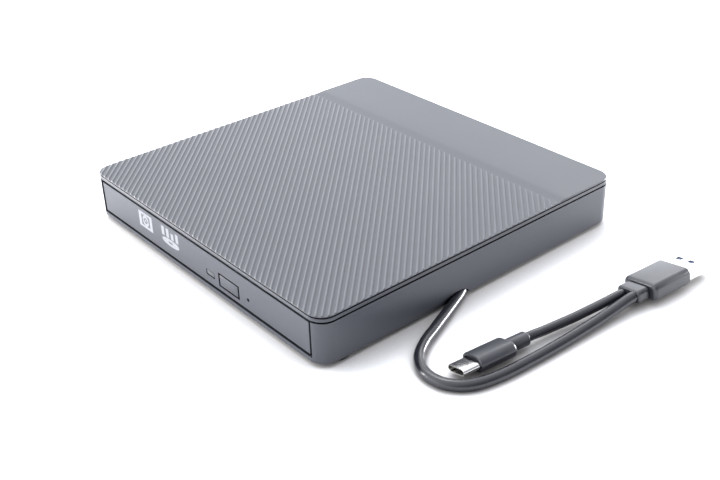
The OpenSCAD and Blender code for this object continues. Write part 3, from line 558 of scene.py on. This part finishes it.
def build_plug_mouldings():
    verts, faces = joined(*(rounded_bar(*bar) for bar in USB_A_BARS))
    usb_a = mesh_piece("usb_a_moulding", in_place(verts, USB_A), faces, "usb_a_overmould", "plug_pvc")
    verts, faces = joined(*(rounded_bar(*bar) for bar in USB_C_BARS))
    verts = [(x, -y, z) for x, y, z in verts]
    usb_c = mesh_piece("usb_c_moulding", in_place(verts, USB_C), faces, "usb_c_overmould", "plug_pvc")
    return shade(usb_a), shade(usb_c)


# ---- marks on the bezel ----

PRINT_H = 0.03
PRINT_SUNK = 0.01
FRAME_AT = (-34.7, 12.0)
FRAME_HALF_W, FRAME_HALF_H = 4.8, 3.3
FRAME_SIDE_W, FRAME_BAR_H = 1.8, 1.0
BARS_AT = (-17.2, 11.7)
BAR_PITCH = 3.2
BAR_W = 1.9
BAR_TOPS = (3.6, 3.6, 2.6, 3.6)


def printed(outline):
    """A flat mark on the front face over an outline in x and z."""
    verts, faces = prism(outline, 0, PRINT_H)
    return [(x, BEZEL_IN - HALF - z + PRINT_SUNK, y) for x, y, z in verts], faces


def arc_band(centre, inner, outer, start, end, squash=1, steps=18):
    """Outline of part of a flat ring, squashed in height, in degrees."""
    turns = [math.radians(a) for a in np.linspace(start, end, steps)]
    points = [(outer * math.cos(a), outer * math.sin(a)) for a in turns]
    points += [(inner * math.cos(a), inner * math.sin(a)) for a in reversed(turns)]
    return [(centre[0] + x, centre[1] + z * squash) for x, z in points]


def build_marks():
    """Two generic marks: a framed disc, and bars over a disc seen from the side."""
    x, z = FRAME_AT
    inner = FRAME_HALF_W - FRAME_SIDE_W
    shapes = []
    for sign in (-1, 1):
        side = x + sign * (FRAME_HALF_W - FRAME_SIDE_W / 2)
        bar = z + sign * (FRAME_HALF_H - FRAME_BAR_H / 2)
        shapes.append(rectangle(side - FRAME_SIDE_W / 2, side + FRAME_SIDE_W / 2,
                                z - FRAME_HALF_H, z + FRAME_HALF_H))
        shapes.append(rectangle(x - inner, x + inner, bar - FRAME_BAR_H / 2, bar + FRAME_BAR_H / 2))
    for start in (0, 180):
        shapes.append(arc_band((x, z), 1.2, 2.3, start + 4, start + 176))
    shapes.append(arc_band((x, z), 0.15, 0.6, 0, 350))
    x, z = BARS_AT
    for i, top in enumerate(BAR_TOPS):
        bar = x + (i - 1.5) * BAR_PITCH
        shapes.append(rectangle(bar - BAR_W / 2, bar + BAR_W / 2, z - 0.2, z + top))
    for start in (0, 180):
        shapes.append(arc_band((x, z - 2), 1.6, 6, start + 3, start + 177, 0.25))
    return mesh_piece("bezel_marks", *joined(*map(printed, shapes)), body="tray")


top_cover = build_top_cover()
bottom_shell = build_bottom_shell()
seam_ring = build_seam_ring()
bezel = build_bezel()
plug_mouldings = build_plug_mouldings()
marks = build_marks()

# ---- materials ----


class Shader:
    """A node material, with short calls for the nodes that the finishes share."""

    def __init__(self, name):
        self.material = bpy.data.materials.new(name)
        self.material.use_nodes = True
        self.nodes = self.material.node_tree.nodes
        self.links = self.material.node_tree.links
        self.bsdf = self.nodes["Principled BSDF"]
        self.place = self.nodes.new("ShaderNodeTexCoord").outputs["Object"]

    def add(self, kind, inputs=(), **settings):
        node = self.nodes.new(kind)
        for key, value in settings.items():
            setattr(node, key, value)
        for key, value in dict(inputs).items():
            if hasattr(value, "is_linked"):
                self.links.new(value, node.inputs[key])
            else:
                node.inputs[key].default_value = value
        return node

    def stretched(self, scale):
        return self.add("ShaderNodeMapping", {"Vector": self.place, "Scale": scale}).outputs[0]

    def noise(self, size_mm, detail=2.0, place=None):
        inputs = {"Vector": place or self.place, "Scale": 1000 / size_mm, "Detail": detail}
        return self.add("ShaderNodeTexNoise", inputs).outputs[0]

    def range(self, value, low, high, start=0.3, end=0.7):
        inputs = {"Value": value, "From Min": start, "From Max": end, "To Min": low, "To Max": high}
        return self.add("ShaderNodeMapRange", inputs).outputs[0]

    def mix(self, factor, a, b):
        node = self.add("ShaderNodeMix", data_type="RGBA")
        for key, value in ((0, factor), (6, a), (7, b)):
            if hasattr(value, "is_linked"):
                self.links.new(value, node.inputs[key])
            else:
                node.inputs[key].default_value = value if key == 0 else (*value[:3], 1)
        return node.outputs[2]

    def times(self, a, b):
        return self.add("ShaderNodeMath", {0: a, 1: b}, operation="MULTIPLY").outputs[0]

    def plus(self, a, b):
        return self.add("ShaderNodeMath", {0: a, 1: b}, operation="ADD").outputs[0]

    def edges(self, radius_mm):
        """1 along convex and concave edges, 0 on open faces."""
        soft = self.add("ShaderNodeBevel", {"Radius": radius_mm * MM}, samples=4).outputs[0]
        true = self.add("ShaderNodeNewGeometry").outputs["Normal"]
        same = self.add("ShaderNodeVectorMath", {0: soft, 1: true}, operation="DOT_PRODUCT").outputs["Value"]
        return self.range(same, 1, 0, 0.85, 0.995)

    def crevices(self, reach_mm, start=0.42, end=0.84):
        """1 in narrow gaps, grooves and under things, 0 in the open, from ambient occlusion; the finishes
        paint shade with it.
        """
        inputs = {"Distance": reach_mm * MM}
        open_share = self.add("ShaderNodeAmbientOcclusion", inputs, samples=6).outputs["AO"]
        return self.range(open_share, 1, 0, start, end)

    def bump(self, height, depth_mm, strength=1.0, after=None):
        inputs = {"Height": height, "Distance": depth_mm * MM, "Strength": strength}
        if after:
            inputs["Normal"] = after
        return self.add("ShaderNodeBump", inputs).outputs[0]

    def set(self, **values):
        for key, value in values.items():
            socket = self.bsdf.inputs[key.replace("_", " ").title().replace("Ior", "IOR")]
            if hasattr(value, "is_linked"):
                self.links.new(value, socket)
            else:
                socket.default_value = value
        return self.material


def tint(colour, factor):
    return tuple(min(c * factor, 1) for c in colour)


def moulded(name, colour, roughness, grain_mm=0.3, depth_mm=0.012, spread=0.015, wear=0.25,
            gaps=False):
    """Moulded plastic: spark-eroded grain, uneven gloss, and edges rubbed a little paler and smoother. With
    the gap option, narrow gaps and grooves get painted shade, near-black and without reflection.
    """
    s = Shader(name)
    cloud = s.noise(26, 4)
    fine = s.noise(grain_mm, 3)
    edge = s.times(s.edges(0.35), s.range(s.noise(3, 3), 0, 1, 0.35, 0.75))
    base = s.mix(s.range(cloud, 0, 1), tint(colour, 0.97), tint(colour, 1.03))
    base = s.mix(s.range(fine, 0, 0.3), base, tint(colour, 0.75))
    base = s.mix(s.times(edge, wear), base, tint(colour, 2.2))
    if gaps:
        # Painted shade: narrow gaps and grooves are coloured near-black and lose their reflection.
        painted_gap_shade = s.crevices(1.5)
        base = s.mix(painted_gap_shade, base, (0.001, 0.001, 0.001))
        s.set(specular_ior_level=s.range(painted_gap_shade, 0.5, 0, 0, 1))
    rough = s.range(cloud, roughness - spread, roughness + spread)
    rough = s.plus(rough, s.range(fine, -0.03, 0.03))
    rough = s.plus(rough, s.times(edge, -0.08))
    return s.set(base_color=base, roughness=rough, normal=s.bump(fine, depth_mm))


def soft_pvc(name, colour, roughness, depth_mm=0.008):
    """Extruded or moulded PVC: fine orange peel and rub marks along it. Underneath and near other things its
    reflection is turned down, a painted shade.
    """
    s = Shader(name)
    cloud = s.noise(12, 4)
    peel = s.noise(0.5, 2)
    rub = s.noise(6, 4, s.stretched((1, 0.15, 1)))
    base = s.mix(s.range(cloud, 0, 1), tint(colour, 0.9), tint(colour, 1.12))
    base = s.mix(s.range(rub, 0, 0.25, 0.55, 0.8), base, tint(colour, 1.8))
    # Painted shade: the reflection is turned down underneath and close to the floor or other parts.
    painted_underside_shade = s.crevices(6, 0.2, 0.7)
    s.set(specular_ior_level=s.range(painted_underside_shade, 0.6, 0.1, 0, 1))
    rough = s.plus(s.range(cloud, roughness - 0.05, roughness + 0.05), s.range(rub, 0, 0.1, 0.5, 0.8))
    return s.set(base_color=base, roughness=rough, normal=s.bump(peel, depth_mm, 0.6))


def metal(name, colour, roughness, grain=(1, 40, 1), size_mm=4, depth_mm=0.004):
    """Rolled or plated metal: fine lines along the sheet, cloudy gloss, brighter edges."""
    s = Shader(name)
    lines = s.noise(size_mm, 3, s.stretched(grain))
    cloud = s.noise(15, 3)
    edge = s.edges(0.2)
    base = s.mix(s.range(lines, 0, 1), tint(colour, 0.88), tint(colour, 1.06))
    base = s.mix(s.times(edge, 0.4), base, tint(colour, 1.25))
    rough = s.plus(s.range(cloud, roughness - 0.05, roughness + 0.06), s.range(lines, -0.04, 0.04))
    return s.set(base_color=base, metallic=1.0, roughness=rough, normal=s.bump(lines, depth_mm))


def printed_board(name):
    """Circuit board: solder mask over fine copper tracks, with tinned pads."""
    s = Shader(name)
    tracks = s.add("ShaderNodeTexBrick", {"Vector": s.place, "Scale": 900.0, "Mortar Size": 0.06,
                                          "Color1": (0, 0, 0, 1), "Color2": (0.2, 0.2, 0.2, 1),
                                          "Mortar": (1, 1, 1, 1)}).outputs["Color"]
    pads = s.add("ShaderNodeTexVoronoi", {"Vector": s.place, "Scale": 420.0}).outputs["Distance"]
    pad = s.range(pads, 1, 0, 0.1, 0.13)
    green = s.mix(tracks, (0.008, 0.07, 0.035), (0.02, 0.14, 0.07))
    base = s.mix(pad, green, (0.6, 0.58, 0.52))
    height = s.plus(s.times(tracks, 0.6), pad)
    return s.set(base_color=base, roughness=s.range(pad, 0.3, 0.4, 0, 1), normal=s.bump(height, 0.03))


def coil(name):
    s = Shader(name)
    wave = s.add("ShaderNodeTexWave", {"Vector": s.place, "Scale": 1200.0, "Distortion": 0.4},
                 bands_direction="X").outputs[1]
    base = s.mix(wave, (0.2, 0.07, 0.02), (0.62, 0.28, 0.1))
    return s.set(base_color=base, metallic=1.0, roughness=s.range(s.noise(3), 0.25, 0.4),
                 normal=s.bump(wave, 0.08))


def clear(name, colour, roughness, transmission):
    s = Shader(name)
    cloud = s.noise(2, 3)
    base = s.mix(s.range(cloud, 0, 1), tint(colour, 0.94), colour)
    return s.set(base_color=base, roughness=s.range(cloud, roughness, roughness + 0.06),
                 transmission_weight=transmission, ior=1.49, normal=s.bump(cloud, 0.004))


CASE = (0.04, 0.043, 0.053)
FINISHES = {
    # The case and button plastics get painted shade in their gaps.
    "case_plastic": moulded("case_plastic", CASE, 0.42, gaps=True),
    "button_plastic": moulded("button_plastic", CASE, 0.4, gaps=True),
    "tray_plastic": moulded("tray_plastic", (0.02, 0.02, 0.022), 0.62, 0.4, 0.02),
    "guide_plastic": moulded("guide_plastic", (0.02, 0.02, 0.022), 0.38, 0.6, 0.01),
    "connector_plastic": moulded("connector_plastic", (0.012, 0.012, 0.013), 0.5, 0.3, 0.01),
    "pickup_plastic": moulded("pickup_plastic", (0.02, 0.02, 0.023), 0.55, 0.5, 0.02),
    "lever_plastic": moulded("lever_plastic", (0.62, 0.6, 0.54), 0.4, 0.6, 0.008, wear=0),
    "tongue_plastic": moulded("tongue_plastic", (0.02, 0.045, 0.11), 0.32, 0.5, 0.004, wear=0.1),
    "chip_resin": moulded("chip_resin", (0.012, 0.012, 0.013), 0.45, 0.15, 0.01),
    "cover_paint": moulded("cover_paint", (0.012, 0.012, 0.013), 0.3, 0.5, 0.006, wear=0.4),
    "foot_rubber": soft_pvc("foot_rubber", (0.02, 0.02, 0.021), 0.75, 0.02),
    "lead_pvc": soft_pvc("lead_pvc", (0.01, 0.0105, 0.0145), 0.23),
    "plug_pvc": soft_pvc("plug_pvc", (0.021, 0.0225, 0.028), 0.3),
    "bezel_print": soft_pvc("bezel_print", (0.2, 0.205, 0.22), 0.5),
    "wire_insulation": soft_pvc("wire_insulation", (0.4, 0.03, 0.02), 0.35),
    "flex_film": soft_pvc("flex_film", (0.62, 0.57, 0.45), 0.3),
    "sheet_steel": metal("sheet_steel", (0.6, 0.61, 0.62), 0.33),
    "bright_steel": metal("bright_steel", (0.68, 0.68, 0.69), 0.2, (40, 1, 1), 3),
    "chassis_steel": metal("chassis_steel", (0.4, 0.41, 0.42), 0.38),
    "motor_steel": metal("motor_steel", (0.55, 0.55, 0.56), 0.25),
    "screw_steel": metal("screw_steel", (0.14, 0.14, 0.15), 0.35, (1, 1, 1), 0.6),
    "switch_metal": metal("switch_metal", (0.6, 0.6, 0.6), 0.3),
    "claw_metal": metal("claw_metal", (0.62, 0.62, 0.63), 0.22, (1, 1, 20)),
    "plug_metal": metal("plug_metal", (0.78, 0.77, 0.75), 0.16, (1, 12, 1), 3, 0.002),
    "capacitor_metal": metal("capacitor_metal", (0.65, 0.65, 0.66), 0.3),
    "circuit_board": printed_board("circuit_board"),
    "copper_coil": coil("copper_coil"),
    "clear_plastic": clear("clear_plastic", (0.07, 0.074, 0.08), 0.38, 0.1),
    "lens_glass": clear("lens_glass", (0.6, 0.7, 1.0), 0.03, 0.9),
}


def finish(obj, slot):
    obj.data.materials.clear()
    obj.data.materials.append(FINISHES[slot])


SOFTENED = {
    "eject_button": 0.12, "rubber_feet": 0.5, "usb_a_shell": 0.25,
    "usb_c_shell": 0.35, "usb_a_tongue": 0.15,
    "tray_frame": 0.25, "chassis_cover": 0.2, "turntable_hub": 0.2, "spindle_rotor": 0.3,
    "pickup_carriage": 0.3, "lens_holder": 0.2, "objective_lens": 0.15, "ejector_spring": 0,
    "usb_wires": 0,
}
for part in frame["record"]["subparts"]:
    node = frame["nodes"][part["node"]]
    finish(node, part["material_slot"])
    if not node.hide_render:
        soften(node, SOFTENED.get(part["node"], 0.1), 3 if part["node"] in SOFTENED else 2)
for piece in (top_cover, bottom_shell, seam_ring, bezel):
    finish(piece, "case_plastic")
for piece in (lead, branch):
    finish(shade(piece), "lead_pvc")
for piece in plug_mouldings:
    finish(piece, "plug_pvc")
finish(marks, "bezel_print")

# ---- floor and light ----

# The room is bright on the left, dim and bluish on the right, and brighter towards the horizon
BRIGHT_SIDE = Vector((-0.72, -0.22, 0.65)).normalized()
BRIGHT = (2.4, 2.47, 2.6, 1)
DIM = (0.21, 0.212, 0.235, 1)
HORIZON = 2.1
FLOOR_HALF = 20000

floor = mesh_piece("floor", *block((-FLOOR_HALF, -FLOOR_HALF, -20), (FLOOR_HALF, FLOOR_HALF, 0)), body=None)
paper = Shader("floor_paper")
sheet = paper.mix(paper.range(paper.noise(40), 0, 1), (0.93, 0.94, 0.95), (0.95, 0.955, 0.965))
# Painted shadow: the floor is coloured darker close to the object, a contact shadow laid into its colour.
sheet = paper.mix(paper.crevices(22, 0.4, 0.96), sheet, (0.36, 0.345, 0.335))
floor.data.materials.append(paper.set(base_color=sheet, roughness=paper.range(paper.noise(8), 0.75, 0.85)))


def smooth_range(nodes, values):
    node = nodes.new("ShaderNodeMapRange")
    node.interpolation_type = "SMOOTHSTEP"
    for key, value in values.items():
        node.inputs[key].default_value = value
    return node


def build_world():
    world = bpy.data.worlds.new("studio")
    world.use_nodes = True
    nodes, links = world.node_tree.nodes, world.node_tree.links
    direction = nodes.new("ShaderNodeTexCoord").outputs["Generated"]
    towards_light = nodes.new("ShaderNodeVectorMath")
    towards_light.operation = "DOT_PRODUCT"
    towards_light.inputs[1].default_value = BRIGHT_SIDE
    side_share = smooth_range(nodes, {"From Min": -0.6, "From Max": 0.95})
    height = nodes.new("ShaderNodeSeparateXYZ")
    horizon = smooth_range(nodes, {"From Min": 0, "From Max": 0.5, "To Min": HORIZON, "To Max": 1})
    colours = nodes.new("ShaderNodeMix")
    colours.data_type = "RGBA"
    colours.inputs[6].default_value = DIM
    colours.inputs[7].default_value = BRIGHT
    links.new(direction, towards_light.inputs[0])
    links.new(towards_light.outputs["Value"], side_share.inputs["Value"])
    links.new(side_share.outputs["Result"], colours.inputs[0])
    links.new(direction, height.inputs[0])
    links.new(height.outputs["Z"], horizon.inputs["Value"])
    links.new(colours.outputs[2], nodes["Background"].inputs["Color"])
    links.new(horizon.outputs["Result"], nodes["Background"].inputs["Strength"])
    return world


bpy.context.scene.world = build_world()
bpy.context.scene.view_settings.view_transform = "Standard"


def softbox(name, place, size, power, colour=(1, 1, 1), aim=(0, 0, 0)):
    """An area light of that size in metres and power in watts, turned towards the aim."""
    light = bpy.data.lights.new(name, "AREA")
    light.shape = "RECTANGLE"
    light.size, light.size_y = size
    light.energy = power
    light.color = colour
    lamp = link(bpy.data.objects.new(name, light))
    lamp.location = place
    lamp.rotation_euler = (Vector(aim) - Vector(place)).to_track_quat("-Z", "Y").to_euler()


softbox("overhead_softbox", (-0.5, 0.2, 1.2), (0.5, 0.5), 6)
softbox("rear_right_softbox", (0.2, 0.42, 0.06), (0.25, 0.1), 3.5, (0.97, 0.97, 1.0),
        aim=(0.07, 0.07, 0.01))
softbox("rear_left_softbox", (-0.45, 0.9, 0.65), (0.4, 0.3), 1)
softbox("front_left_softbox", (-0.38, -0.3, 0.11), (0.3, 0.2), 4.4, (1.0, 0.98, 0.98))
